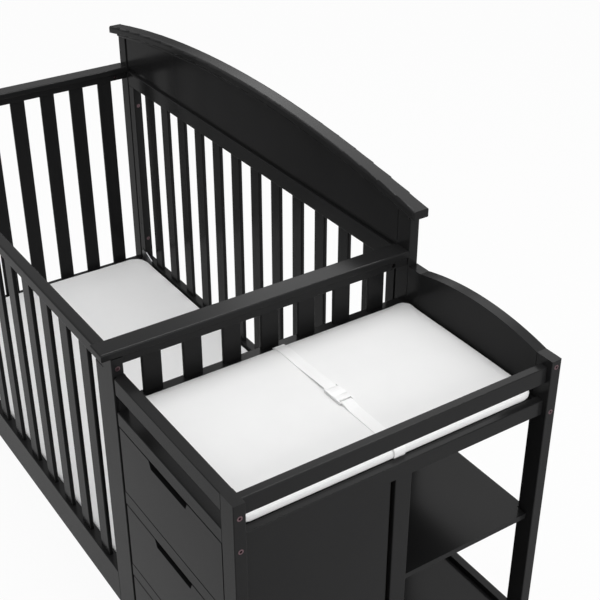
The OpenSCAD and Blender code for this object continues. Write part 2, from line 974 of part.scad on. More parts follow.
module strap_far_side() {
    start = buckle_at + buckle_l / 2 - strap_in_buckle;
    inner = strap_line(start, pad_l + strap_gap, strap_gap);
    outer = strap_line(start, pad_l + strap_gap + strap_t, strap_gap + strap_t);
    back = [for (i = [strap_steps : -1 : 0]) outer[i]];
    polygon(concat(inner, [[pad_l + strap_gap, strap_end],
        [pad_l + strap_gap + strap_t, strap_end]], back));
}

module pad_strap() {
    place() color([0.9, 0.9, 0.88]) translate([pad_x, strap_y, pad_z]) {
        along_y(strap_w) strap_side();
        along_y(strap_w) strap_far_side();
    }
}

// Two halves of a side-release buckle, over the ends of the strap.
module strap_buckle() {
    base = pad_top(buckle_at) + strap_gap + strap_t + strap_gap;
    half_l = (buckle_l - buckle_split) / 2;
    w = strap_w + 2 * buckle_side;
    place() color([0.96, 0.96, 0.95])
        translate([pad_x + buckle_at, strap_y - buckle_side, pad_z + base]) {
            for (x = [-buckle_l / 2, buckle_split / 2])
                translate([x, 0, 0]) linear_extrude(buckle_t) eased(half_l, w, buckle_r);
            translate([-buckle_tongue / 2, w / 4, buckle_wall])
                cube([buckle_tongue, w / 2, buckle_t - 2 * buckle_wall]);
        }
}

// ---- Changing unit: frame ----

module changer_front_post() {
    place() lacquer() difference() {
        translate([post_x, 0, 0]) post(unit_post_w, board_t, guard_z);
        unit_bores();
    }
}

module changer_back_post_right() {
    place() lacquer() difference() {
        translate([post_x, back_y, 0]) post(unit_post_w, board_t, back_end_z);
        unit_bores();
    }
}

module changer_back_post_left() {
    place() lacquer() translate([crib_len, back_y, 0])
        post(unit_inner_w, board_t, back_end_z);
}

module changer_middle_post() {
    place() lacquer() translate([panel_in_x, mid_post_y, low_z])
        post(side_panel_t, mid_post_d, opening_z - low_z);
}

module unit_rail(z, h) {
    translate([bay_x, 0, z]) rail_x(post_x - bay_x, board_t, h);
}

module changer_front_guard() {
    place() lacquer() difference() {
        unit_rail(guard_z - guard_h, guard_h);
        unit_bores();
    }
}

module changer_front_rail() {
    place() lacquer() difference() {
        unit_rail(opening_z, deck_rail_h);
        unit_bores();
    }
}

module changer_dividers() {
    place() lacquer() for (i = [0 : drawers - 2])
        unit_rail(drawer_z(i) - divider_h, divider_h);
}

module changer_bottom_rail() {
    place() lacquer() unit_rail(unit_z, divider_h);
}

module changer_side_guard() {
    place() lacquer() translate([side_rail_x, board_t, guard_z - guard_h])
        rail_y(back_y - board_t, side_rail_t, guard_h);
}

// The side rails are square where the panel beside the drawers lies flush with them.
module changer_side_rail() {
    place() lacquer() translate([side_rail_x, board_t, opening_z])
        rail_y(back_y - board_t, side_rail_t, deck_rail_h, 0);
}

module changer_side_bottom_rail() {
    place() lacquer() translate([side_rail_x, board_t, low_z]) mirror([0, 0, 1])
        rail_y(back_y - board_t, side_rail_t, divider_h, 0);
}

// The panel beside the drawers, between the side rails.
module changer_side_panel() {
    place() lacquer() translate([panel_in_x, board_t, low_z])
        cube([side_panel_t, side_panel_d, opening_z - low_z]);
}

// The panel beside the crib, with the strip that fills the gap at its front edge.
module changer_inner_panel() {
    place() lacquer() {
        translate([crib_len, board_t, unit_z])
            cube([side_panel_t, back_y - board_t, deck_low - unit_z]);
        translate([crib_len, strip_set, unit_z])
            cube([strip_w, board_t - strip_set - play, guard_z - unit_z]);
    }
}

// The back behind the pad, with its arched top.
module changer_back_panel() {
    x0 = crib_len + unit_inner_w;
    place() lacquer() difference() {
        translate([0, back_y, 0]) along_y(board_t) intersection() {
            translate([x0 + back_chord / 2, back_end_z + back_rise - back_r])
                circle(back_r, $fn = 360);
            translate([x0, opening_z]) square([back_chord, crest_h]);
        }
        unit_bores();
    }
}

module changer_back_rail() {
    x0 = crib_len + unit_inner_w;
    place() lacquer() translate([x0, back_y, back_rail_z - divider_h])
        rail_x(back_chord, back_rail_t, divider_h);
}

module changer_deck() {
    place() lacquer() translate([crib_len, board_t, deck_low])
        cube([side_rail_x - crib_len, back_y - board_t, deck_t]);
}

// The board behind the drawers.
module changer_partition() {
    place() lacquer() translate([inner_x, mid_post_y, unit_z])
        cube([side_rail_x - inner_x, side_panel_t, deck_low - unit_z]);
}

// The middle shelf, cut out round the middle post and the two back posts.
module middle_shelf() {
    inner_post_w = crib_len + unit_inner_w - inner_x;
    place() lacquer() translate([inner_x, bay_y, shelf_z - shelf_t]) linear_extrude(shelf_t)
        difference() {
            square([side_x - shelf_in - inner_x, depth - shelf_back - bay_y]);
            translate([post_x - inner_x, back_y - notch_d - bay_y])
                square([unit_post_w, depth]);
            translate([-over, back_y - bay_y]) square([inner_post_w + over, depth]);
            translate([panel_in_x - inner_x, -over])
                square([side_set + side_panel_t, mid_post_y + mid_post_d - bay_y + over]);
        }
}

module bottom_shelf() {
    place() lacquer() translate([inner_x, bay_y, low_shelf_z - shelf_t])
        cube([side_rail_x - inner_x, back_y - bay_y, shelf_t]);
}

// ---- Drawers ----

// A runner's channel, open towards +X: its foot is at the origin.
module channel(h, w) {
    difference() {
        square([w, h]);
        translate([runner_wall, runner_wall]) square([w, h - 2 * runner_wall]);
    }
}

inner_h = runner_h - 2 * runner_wall - 2 * clear;
channel_w = runner_w - runner_wall - clear;
runner_set = 4;

// The fixed channels of the three drawers, with the cleats that carry the right ones.
module runner_channels() {
    place() for (i = [0 : drawers - 1]) {
        translate([0, board_t + runner_set, drawer_z(i) + runner_z]) {
            steel() translate([inner_x, 0, 0]) along_y(runner_d) channel(runner_h, channel_w);
            steel() translate([box_x + box_w + runner_w, 0, 0]) mirror([1, 0, 0])
                along_y(runner_d) channel(runner_h, channel_w);
            lacquer() translate([panel_in_x - cleat_w + play, 0, 0])
                cube([cleat_w - play, runner_d, runner_h]);
        }
    }
}

// The channels that travel with a drawer, inside the fixed ones.
module drawer_slides(i) {
    z = drawer_z(i) + runner_z + runner_wall + clear;
    w = runner_w - runner_wall - 2 * clear;
    steel() translate([0, board_t + runner_set, z]) {
        translate([box_x - play, 0, 0]) mirror([1, 0, 0]) along_y(runner_d) channel(inner_h, w);
        translate([box_x + box_w + play, 0, 0]) along_y(runner_d) channel(inner_h, w);
    }
}

module drawer_front(i) {
    w = post_x - bay_x - 2 * front_gap;
    h = drawer_h - 2 * front_gap;
    lacquer() translate([bay_x + front_gap, 0, drawer_z(i) + front_gap]) along_y(front_t)
        difference() {
            eased(w, h, ease_r);
            translate([w / 2, h]) polygon([
                [-finger_w / 2, over],
                [-finger_w / 2, 0],
                [finger_in - finger_w / 2, -finger_d],
                [finger_w / 2 - finger_in, -finger_d],
                [finger_w / 2, 0],
                [finger_w / 2, over],
            ]);
        }
}

// Two sides, a sub-front and a back, with the bottom held in their grooves.
module drawer_box(i) {
    z = drawer_z(i) + box_lift;
    in_w = box_w - 2 * box_t;
    color([0.75, 0.68, 0.55]) translate([box_x, front_t + play, z]) difference() {
        union() {
            for (x = [0, box_w - box_t]) translate([x, 0, 0]) cube([box_t, box_d, box_h]);
            for (y = [0, box_d - box_t])
                translate([box_t + play, y, 0]) cube([in_w - 2 * play, box_t, box_h]);
        }
        translate([box_t / 2, box_t / 2, groove_z])
            cube([box_w - box_t, box_d - box_t, bottom_t]);
    }
    color([0.85, 0.8, 0.7]) translate([box_x + box_t / 2 + play, front_t + box_t / 2 + 2 * play,
        z + groove_z + play])
        cube([box_w - box_t - 2 * play, box_d - box_t - 2 * play, bottom_t - 2 * play]);
}

module top_drawer_front() {
    place() drawer_front(0);
}

module top_drawer_box() {
    place() drawer_box(0);
}

module drawer_slides_top() {
    place() drawer_slides(0);
}

module middle_drawer_front() {
    place() drawer_front(1);
}

module middle_drawer_box() {
    place() drawer_box(1);
}

module drawer_slides_middle() {
    place() drawer_slides(1);
}

module bottom_drawer_front() {
    place() drawer_front(2);
}

module bottom_drawer_box() {
    place() drawer_box(2);
}

module drawer_slides_bottom() {
    place() drawer_slides(2);
}

// ---- Fixings ----

module bolts_and_nuts() {
    place() color([0.6, 0.42, 0.38]) {
        at_bolts(concat(unit_bolts, front_bolts, end_bolts)) {
            bolt(bolt_l);
            barrel_nut(bolt_l);
        }
        at_bolts(head_bolts) {
            bolt(head_bolt_l);
            barrel_nut(head_bolt_l);
        }
    }
}

headboard_post_left();
headboard_post_right();
headboard_panel();
headboard_cap();
headboard_moulding();
headboard_top_rail();
headboard_bottom_rail();
headboard_stiles();
headboard_slats();
left_leg();
left_cap();
left_top_rail();
left_bottom_rail();
left_slats();
middle_leg();
middle_cap();
middle_top_rail();
middle_bottom_rail();
middle_slats();
front_top_rail();
front_bottom_rail();
front_stiles();
front_slats();
support_frame();
support_straps();
support_brackets();
mattress();
changer_front_post();
changer_back_post_right();
changer_back_post_left();
changer_middle_post();
changer_front_guard();
changer_side_guard();
changer_front_rail();
changer_dividers();
changer_bottom_rail();
changer_side_rail();
changer_side_bottom_rail();
changer_side_panel();
changer_inner_panel();
changer_back_panel();
changer_back_rail();
changer_deck();
changer_partition();
middle_shelf();
bottom_shelf();
runner_channels();
top_drawer_front();
top_drawer_box();
drawer_slides_top();
middle_drawer_front();
middle_drawer_box();
drawer_slides_middle();
bottom_drawer_front();
bottom_drawer_box();
drawer_slides_bottom();
changing_pad();
pad_strap();
strap_buckle();
bolts_and_nuts();
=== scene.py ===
"""Dresses a crib with an attached changing unit.

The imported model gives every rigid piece. This script gives each of them its finish, models the
mattress, the changing pad, the pad's strap and its buckle, and sets up camera, floor and light.
Lengths are in metres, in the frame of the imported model: X runs along the crib, Y from the front
to the headboard, Z up from the floor.
"""

import logging
import math
from collections.abc import Callable, Iterable, Sequence
from dataclasses import dataclass
from enum import Enum

import bmesh
import bpy
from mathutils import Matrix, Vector
from mathutils.bvhtree import BVHTree


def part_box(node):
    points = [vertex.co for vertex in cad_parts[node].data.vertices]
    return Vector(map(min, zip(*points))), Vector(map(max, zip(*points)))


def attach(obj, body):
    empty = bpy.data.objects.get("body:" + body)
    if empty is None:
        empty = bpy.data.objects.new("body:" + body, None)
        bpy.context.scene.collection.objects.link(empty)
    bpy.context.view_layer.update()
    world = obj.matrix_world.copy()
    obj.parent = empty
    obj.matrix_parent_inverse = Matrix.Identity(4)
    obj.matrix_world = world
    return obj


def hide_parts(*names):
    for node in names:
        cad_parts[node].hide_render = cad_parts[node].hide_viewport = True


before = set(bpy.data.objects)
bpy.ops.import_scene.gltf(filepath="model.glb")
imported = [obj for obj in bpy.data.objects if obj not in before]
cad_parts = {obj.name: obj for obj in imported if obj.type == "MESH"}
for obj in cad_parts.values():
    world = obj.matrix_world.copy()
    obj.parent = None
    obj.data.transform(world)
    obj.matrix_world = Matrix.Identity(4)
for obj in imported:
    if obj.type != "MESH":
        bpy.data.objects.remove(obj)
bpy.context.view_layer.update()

log = logging.getLogger("crib")

Colour = tuple[float, float, float, float]
Stretch = tuple[float, float, float]
MM = 0.001
TINY = 1e-6
TURN = 2.0 * math.pi
BOTH_SIDES = (-1.0, 1.0)
DOWN = Vector((0.0, 0.0, -1.0))
STRAP_MAP = "strap"


class Grain(Enum):
    """The way that the wood's grain runs, as one of the three axes."""

    ALONG = 0
    ACROSS = 1
    UPRIGHT = 2


class Cover(Enum):
    """The cloths that the padded pieces are covered with."""

    MATTRESS = "mattress_cover"
    PAD = "pad_cover"


# ---- Shader maths ----


class Signal:
    """An output socket of a material, on which Python's operators work."""

    def __init__(self, board: "Board", socket: bpy.types.NodeSocket) -> None:
        """Wraps a socket.

        Args:
            board: the node tree that the socket belongs to.
            socket: the output socket.
        """
        self.board = board
        self.socket = socket

    def _math(self, operation: str, first: "Feed", second: "Feed") -> "Signal":
        """Adds a Math node that joins two values."""
        return self.board.node("ShaderNodeMath", {"operation": operation}, {0: first, 1: second})

    def __add__(self, other: "Feed") -> "Signal":
        """Adds a value to this one."""
        return self._math("ADD", self, other)

    def __radd__(self, other: "Feed") -> "Signal":
        """Adds this value to another."""
        return self._math("ADD", other, self)

    def __sub__(self, other: "Feed") -> "Signal":
        """Takes a value from this one."""
        return self._math("SUBTRACT", self, other)

    def __rsub__(self, other: "Feed") -> "Signal":
        """Takes this value from another."""
        return self._math("SUBTRACT", other, self)

    def __mul__(self, other: "Feed") -> "Signal":
        """Multiplies this value by another."""
        return self._math("MULTIPLY", self, other)

    def __rmul__(self, other: "Feed") -> "Signal":
        """Multiplies another value by this one."""
        return self._math("MULTIPLY", other, self)

    def size(self) -> "Signal":
        """Gives this value without its sign."""
        return self._math("ABSOLUTE", self, 0.0)

    def wave(self) -> "Signal":
        """Gives the sine of this value, moved to run from 0 to 1."""
        return self._math("SINE", self, 0.0) * 0.5 + 0.5

    def larger(self, other: "Feed") -> "Signal":
        """Gives the larger one of this value and another."""
        return self._math("MAXIMUM", self, other)


Feed = Signal | float | tuple


class Board:
    """A node tree, to which nodes are added."""

    def __init__(self, tree: bpy.types.NodeTree) -> None:
        """Takes a node tree.

        Args:
            tree: the tree.
        """
        self.nodes = tree.nodes
        self.links = tree.links

    def node(
        self,
        kind: str,
        settings: dict[str, object] | None = None,
        feeds: dict[str | int, Feed] | None = None,
        out: int | str = 0,
    ) -> Signal:
        """Adds a node.

        Args:
            kind: the node's type.
            settings: the node's own settings, set first. "stops" are a ramp's stops.
            feeds: a value or a signal for each input that isn't left alone.
            out: the output that is wanted.

        Returns:
            The node's output.
        """
        made = self.nodes.new(kind)
        for key, value in (settings or {}).items():
            if key == "stops":
                self._set_stops(made.color_ramp, value)
            else:
                setattr(made, key, value)
        for key, feed in (feeds or {}).items():
            self._feed(made.inputs[key], feed)
        return Signal(self, made.outputs[out])

    def _set_stops(self, ramp: bpy.types.ColorRamp, stops: Sequence[tuple[float, float]]) -> None:
        """Gives a ramp its stops.

        Args:
            ramp: the ramp, which has as many stops already.
            stops: a place and a grey for each.
        """
        for element, (place, grey) in zip(ramp.elements, stops, strict=True):
            element.position = place
            element.color = (grey, grey, grey, 1.0)

    def _feed(self, socket: bpy.types.NodeSocket, feed: Feed) -> None:
        """Links a signal to an input, or sets the input's value.

        Args:
            socket: the input.
            feed: the signal or the value.
        """
        if isinstance(feed, Signal):
            self.links.new(feed.socket, socket)
        else:
            socket.default_value = feed

    def end(self, signal: Signal, kind: str, socket: str) -> None:
        """Links a signal to the tree's output.

        Args:
            signal: what is linked.
            kind: the output node's name.
            socket: its input.
        """
        self.links.new(signal.socket, self.nodes[kind].inputs[socket])


class Paint(Board):
    """A material in the making, with its nodes and its main shader."""

    def __init__(self, name: str) -> None:
        """Makes an empty material.

        Args:
            name: the material's name.
        """
        self.material = bpy.data.materials.new(name)
        self.material.use_nodes = True
        super().__init__(self.material.node_tree)
        self.shader = self.nodes["Principled BSDF"]

    def set(self, **values: Feed) -> None:
        """Sets the main shader's inputs, named with underscores for spaces."""
        for name, value in values.items():
            self._feed(self.shader.inputs[name.replace("_", " ")], value)

    def place(self, stretch: Sequence[float] = (1.0, 1.0, 1.0)) -> Signal:
        """Gives the place on the object, stretched.

        Args:
            stretch: how often a pattern repeats per metre on each axis.

        Returns:
            The stretched place.
        """
        here = self.node("ShaderNodeTexCoord", out="Object")
        return self.node("ShaderNodeMapping", None, {"Vector": here, "Scale": tuple(stretch)})

    def noise(self, place: Signal, scale: float, detail: float = 2.0, rough: float = 0.5) -> Signal:
        """Adds noise.

        Args:
            place: where it is read.
            scale: its scale.
            detail: its detail.
            rough: how strong the fine detail is.

        Returns:
            The noise, about 0 to 1.
        """
        feeds = {"Vector": place, "Scale": scale, "Detail": detail, "Roughness": rough}
        return self.node("ShaderNodeTexNoise", None, feeds)

    def axis(self, place: Signal, index: int) -> Signal:
        """Gives one axis of a place."""
        return self.node("ShaderNodeSeparateXYZ", None, {0: place}, index)

    def mix(self, factor: Feed, first: Feed, second: Feed) -> Signal:
        """Mixes two colours by a factor."""
        settings = {"data_type": "RGBA"}
        return self.node("ShaderNodeMix", settings, {0: factor, 6: first, 7: second}, 2)

    def bump(
        self, height: Signal, depth: float, strength: float, base: Signal | None = None
    ) -> Signal:
        """Adds a bump.

        Args:
            height: the relief, 0 to 1.
            depth: the relief's real depth.
            strength: how strongly it shows.
            base: the normal that it is laid on, if any.

        Returns:
            The new normal.
        """
        feeds: dict[str | int, Feed] = {"Height": height, "Distance": depth, "Strength": strength}
        if base is not None:
            feeds["Normal"] = base
        return self.node("ShaderNodeBump", None, feeds)


# ---- Finishes ----


@dataclass(frozen=True)
class Lacquer:
    """Satin black lacquer over wood, whose grain still shows a little in the gloss.

    along and across are how often the grain repeats per metre in the two directions, peel and
    cloud the scales of the sprayed skin and of the slow changes in tone, and depth the relief.
    """

    deep: Colour = (0.0128, 0.0128, 0.0131, 1.0)
    lifted: Colour = (0.016, 0.016, 0.0163, 1.0)
    roughness: float = 0.2
    ior: float = 1.165
    along: float = 7.0
    across: float = 260.0
    peel: float = 210.0
    cloud: float = 4.5
    depth: float = 0.00005

    def make(self, grain: Grain) -> bpy.types.Material:
        """Makes the material for one direction of grain.

        Args:
            grain: the way that the grain runs.

        Returns:
            The material.
        """
        paint = Paint(f"black_lacquer_{grain.name.lower()}")
        stretch = [self.across] * 3
        stretch[grain.value] = self.along
        fibre = paint.noise(paint.place(stretch), 1.0, 3.0, 0.65)
        here = paint.place()
        peel = paint.noise(here, self.peel, 1.0)
        cloud = paint.noise(here, self.cloud)
        height = fibre * 0.55 + peel * 0.45
        paint.set(
            Base_Color=paint.mix(cloud, self.deep, self.lifted),
            Roughness=self.roughness + (cloud - 0.5) * 0.09 + (fibre - 0.5) * 0.05,
            IOR=self.ior,
            Normal=paint.bump(height, self.depth, 0.35),
        )
        return paint.material


@dataclass(frozen=True)
class DrawerBoard:
    """Clear varnished birch for the drawer boxes.

    slow, fine and pores are how often the years' rings, the fibres and the pores repeat per metre
    on each axis, and rings is the number of rings in one step of the slow pattern.
    """

    pale: Colour = (0.62, 0.47, 0.3, 1.0)
    dark: Colour = (0.4, 0.26, 0.14, 1.0)
    slow: Stretch = (2.2, 1.6, 9.0)
    fine: Stretch = (14.0, 14.0, 900.0)
    pores: Stretch = (60.0, 60.0, 2200.0)
    rings: float = 13.0
    roughness: float = 0.42
    varnish: float = 0.18
    depth: float = 0.00012

    def make(self) -> bpy.types.Material:
        """Makes the material.

        Returns:
            The material.
        """
        paint = Paint("varnished_birch")
        slow = paint.noise(paint.place(self.slow), 1.0, 3.0, 0.55)
        ring = (slow * (self.rings * TURN)).wave()
        fine = paint.noise(paint.place(self.fine), 1.0, 4.0, 0.7)
        pores = paint.noise(paint.place(self.pores), 1.0)
        shade = ring * ring * 0.38 + fine * 0.42
        paint.set(
            Base_Color=paint.mix(shade, self.pale, self.dark),
            Roughness=self.roughness + (fine - 0.5) * 0.16,
            Coat_Weight=self.varnish,
            Normal=paint.bump(fine * 0.6 + pores * 0.4, self.depth, 0.4),
        )
        return paint.material


@dataclass(frozen=True)
class PlatedSteel:
    """Plated steel with a faint brushed grain and cloudy spangle."""

    name: str
    bright: Colour
    dull: Colour
    roughness: float = 0.34
    spangle: float = 160.0
    cloud: float = 38.0
    brushed: Stretch = (24.0, 24.0, 2400.0)
    depth: float = 0.00004

    def make(self) -> bpy.types.Material:
        """Makes the material.

        Returns:
            The material.
        """
        paint = Paint(self.name)
        here = paint.place()
        spangle = paint.node("ShaderNodeTexVoronoi", None, {"Vector": here, "Scale": self.spangle})
        cloud = paint.noise(here, self.cloud, 3.0, 0.6)
        brushed = paint.noise(paint.place(self.brushed), 1.0)
        paint.set(
            Base_Color=paint.mix(cloud * 0.7 + spangle * 0.3, self.bright, self.dull),
            Metallic=1.0,
            Roughness=self.roughness + (cloud - 0.5) * 0.22 + (brushed - 0.5) * 0.12,
            Normal=paint.bump(brushed * 0.7 + cloud * 0.3, self.depth, 0.4),
        )
        return paint.material


@dataclass(frozen=True)
class CoverCloth:
    """A closely woven white cover, with slubs in its threads, faint slack ripples, and painted
    shade that darkens the ripples' troughs.

    threads is the number of threads per metre, slubs how often their thick places repeat per
    metre, ripple and fluff the scales of the slack and of the nap, and the depths are reliefs.
    """

    cover: Cover
    light: Colour
    shade: Colour
    threads: float
    slubs: Stretch = (30.0, 420.0, 420.0)
    ripple: float = 13.0
    fluff: float = 900.0
    ripple_depth: float = 0.0018
    weave_depth: float = 0.00018
    roughness: float = 0.82
    sheen: float = 0.25

    def make(self) -> bpy.types.Material:
        """Makes the material.

        Returns:
            The material.
        """
        paint = Paint(self.cover.value)
        here = paint.place()
        slub = paint.noise(paint.place(self.slubs), 1.0) * 1.4
        warp = (paint.axis(here, 0) * (self.threads * TURN) + slub).wave()
        weft = (paint.axis(here, 1) * (self.threads * TURN) + slub).wave()
        rise = (paint.axis(here, 2) * (self.threads * TURN)).wave()
        weave = warp.larger(weft) * 0.75 + rise * 0.25
        ripple = paint.noise(here, self.ripple, 3.0, 0.55)
        fluff = paint.noise(here, self.fluff)
        # tone mixes painted shade, which follows the slack ripples' relief and is darker in their
        # troughs, with the threads' own tone from weave and nap
        tone = ripple * 0.55 + weave * 0.25 + fluff * 0.2
        slack = paint.bump(ripple, self.ripple_depth, 0.16)
        paint.set(
            Base_Color=paint.mix(tone, self.shade, self.light),
            Roughness=self.roughness + (weave - 0.5) * 0.12,
            Sheen_Weight=self.sheen,
            Normal=paint.bump(weave * 0.8 + fluff * 0.2, self.weave_depth, 0.45, slack),
        )
        return paint.material


@dataclass(frozen=True)
class Webbing:
    """Flat woven webbing, ribbed across, with a denser edge on each side.

    rib is the width of one rib, rows the number of threads across, and selvedge where the denser
    edge starts and ends, as shares of the width from the middle.
    """

    light: Colour = (0.93, 0.93, 0.925, 1.0)
    shade: Colour = (0.84, 0.84, 0.84, 1.0)
    rib: float = 0.0011
    rows: float = 9.0
    selvedge: tuple[float, float] = (0.42, 0.48)
    fluff: float = 1400.0
    roughness: float = 0.7
    sheen: float = 0.15
    depth: float = 0.0002

    def make(self, length: float) -> bpy.types.Material:
        """Makes the material for a piece whose own map runs once along it and once across.

        Args:
            length: the piece's length.

        Returns:
            The material.
        """
        paint = Paint("webbing")
        strap_map = paint.node("ShaderNodeUVMap", {"uv_map": STRAP_MAP})
        turns = paint.axis(strap_map, 0) * (length * TURN / self.rib)
        side = paint.axis(strap_map, 1)
        ribs = turns.wave()
        twill = (turns * 0.5 + side * (self.rows * TURN)).wave()
        start, end = self.selvedge
        edge = paint.node(
            "ShaderNodeValToRGB",
            {"stops": ((start, 0.0), (end, 1.0))},
            {0: (side - 0.5).size()},
        )
        thread = ribs * 0.55 + twill * 0.45
        fluff = paint.noise(paint.place(), self.fluff)
        tone = thread * 0.6 + fluff * 0.25 + edge * 0.15
        paint.set(
            Base_Color=paint.mix(tone, self.shade, self.light),
            Roughness=self.roughness + (thread - 0.5) * 0.16,
            Sheen_Weight=self.sheen,
            Normal=paint.bump(thread * 0.85 + fluff * 0.15, self.depth, 0.5),
        )
        return paint.material


@dataclass(frozen=True)
class MouldedPlastic:
    """White moulded plastic with a fine spark-eroded grain and faint flow marks."""

    light: Colour = (0.86, 0.86, 0.855, 1.0)
    shade: Colour = (0.8, 0.8, 0.8, 1.0)
    erosion: float = 2600.0
    flow: Stretch = (40.0, 160.0, 160.0)
    roughness: float = 0.4
    depth: float = 0.00005

    def make(self) -> bpy.types.Material:
        """Makes the material.

        Returns:
            The material.
        """
        paint = Paint("buckle_plastic")
        erosion = paint.noise(paint.place(), self.erosion, 2.0, 0.6)
        flow = paint.noise(paint.place(self.flow), 1.0)
        paint.set(
            Base_Color=paint.mix(flow, self.shade, self.light),
            Roughness=self.roughness + (erosion - 0.5) * 0.2,
            Normal=paint.bump(erosion, self.depth, 0.5),
        )
        return paint.material


# ---- Modelling by hand ----


class Bench:
    """The steps of modelling that the pieces share."""

    @staticmethod
    def clear() -> None:
        """Deselects every object."""
        bpy.ops.object.select_all(action="DESELECT")

    @staticmethod
    def name(piece_name: str) -> bpy.types.Object:
        """Names the active object.

        Args:
            piece_name: its name.

        Returns:
            The object.
        """
        piece = bpy.context.view_layer.objects.active
        piece.name = piece_name
        piece.data.name = piece_name
        return piece

    @classmethod
    def block(cls, piece_name: str, low: Vector, high: Vector) -> bpy.types.Object:
        """Adds a block between two corners, with its place in its mesh.

        Args:
            piece_name: the object's name.
            low: the lowest corner.
            high: the highest corner.

        Returns:
            The block.
        """
        cls.clear()
        size = high - low
        bpy.ops.mesh.primitive_cube_add(size=1.0, location=(low + high) / 2.0, scale=tuple(size))
        piece = cls.name(piece_name)
        cls.settle(piece)
        return piece

    @classmethod
    def settle(cls, piece: bpy.types.Object) -> None:
        """Puts an object's place, turn and scale into its mesh."""
        cls.pick(piece)
        bpy.ops.object.transform_apply(location=True, rotation=True, scale=True)

    @classmethod
    def pick(cls, piece: bpy.types.Object) -> None:
        """Makes a piece the only selected object and the active one.

        Args:
            piece: the piece.
        """
        cls.clear()
        piece.select_set(True)
        bpy.context.view_layer.objects.active = piece

    @classmethod
    def bevel_edges(
        cls,
        piece: bpy.types.Object,
        wanted: Callable[[Vector, Vector], bool],
        width: float,
        segments: int,
    ) -> None:
        """Rounds the edges that a test names.

        Args:
            piece: the piece.
            wanted: says of an edge, by its two ends, whether it is rounded.
            width: the radius.
            segments: the number of facets round it.
        """
        cls.pick(piece)
        bpy.ops.object.mode_set(mode="EDIT")
        bpy.ops.mesh.select_mode(type="EDGE")
        bpy.ops.mesh.select_all(action="DESELECT")
        mesh = bmesh.from_edit_mesh(piece.data)
        for edge in mesh.edges:
            edge.select = wanted(edge.verts[0].co.copy(), edge.verts[1].co.copy())
        bmesh.update_edit_mesh(piece.data)
        bpy.ops.mesh.bevel(offset=width, segments=segments, affect="EDGES")
        bpy.ops.object.mode_set(mode="OBJECT")

    @classmethod
    def apply(cls, piece: bpy.types.Object, kind: str, **settings: object) -> None:
        """Adds a modifier to a piece and applies it.

        Args:
            piece: the piece.
            kind: the modifier's type.
            settings: the modifier's settings.
        """
        cls.pick(piece)
        modifier = piece.modifiers.new(kind.lower(), kind)
        for key, value in settings.items():
            setattr(modifier, key, value)
        bpy.ops.object.modifier_apply(modifier=modifier.name)

    @classmethod
    def outwards(cls, piece: bpy.types.Object) -> None:
        """Turns all faces of a closed piece outwards.

        Args:
            piece: the piece.
        """
        cls.pick(piece)
        bpy.ops.object.mode_set(mode="EDIT")
        bpy.ops.mesh.select_all(action="SELECT")
        bpy.ops.mesh.normals_make_consistent(inside=False)
        bpy.ops.object.mode_set(mode="OBJECT")

    @classmethod
    def carve(
        cls, piece: bpy.types.Object, tool: bpy.types.Object, how: str = "DIFFERENCE"
    ) -> None:
        """Cuts a tool's shape out of a piece, or adds it, and takes the tool away.

        Args:
            piece: the piece.
            tool: the shape, which goes.
            how: the kind of cut.
        """
        cls.apply(piece, "BOOLEAN", object=tool, operation=how, solver="EXACT")
        bpy.data.objects.remove(tool)

    @classmethod
    def smooth(cls, piece: bpy.types.Object, angle: float = math.radians(40)) -> None:
        """Shades a piece smooth, with its sharp edges kept."""
        cls.pick(piece)
        bpy.ops.object.shade_smooth_by_angle(angle=angle)

    @staticmethod
    def dress(piece: bpy.types.Object, material: bpy.types.Material) -> None:
        """Gives a piece one material."""
        piece.data.materials.clear()
        piece.data.materials.append(material)


def report(piece: bpy.types.Object) -> None:
    """Logs a piece's size and its number of faces."""
    size = tuple(round(side / MM) for side in piece.dimensions)
    log.info("%s: %s mm, %d faces", piece.name, size, len(piece.data.polygons))


# ---- Padded pieces ----


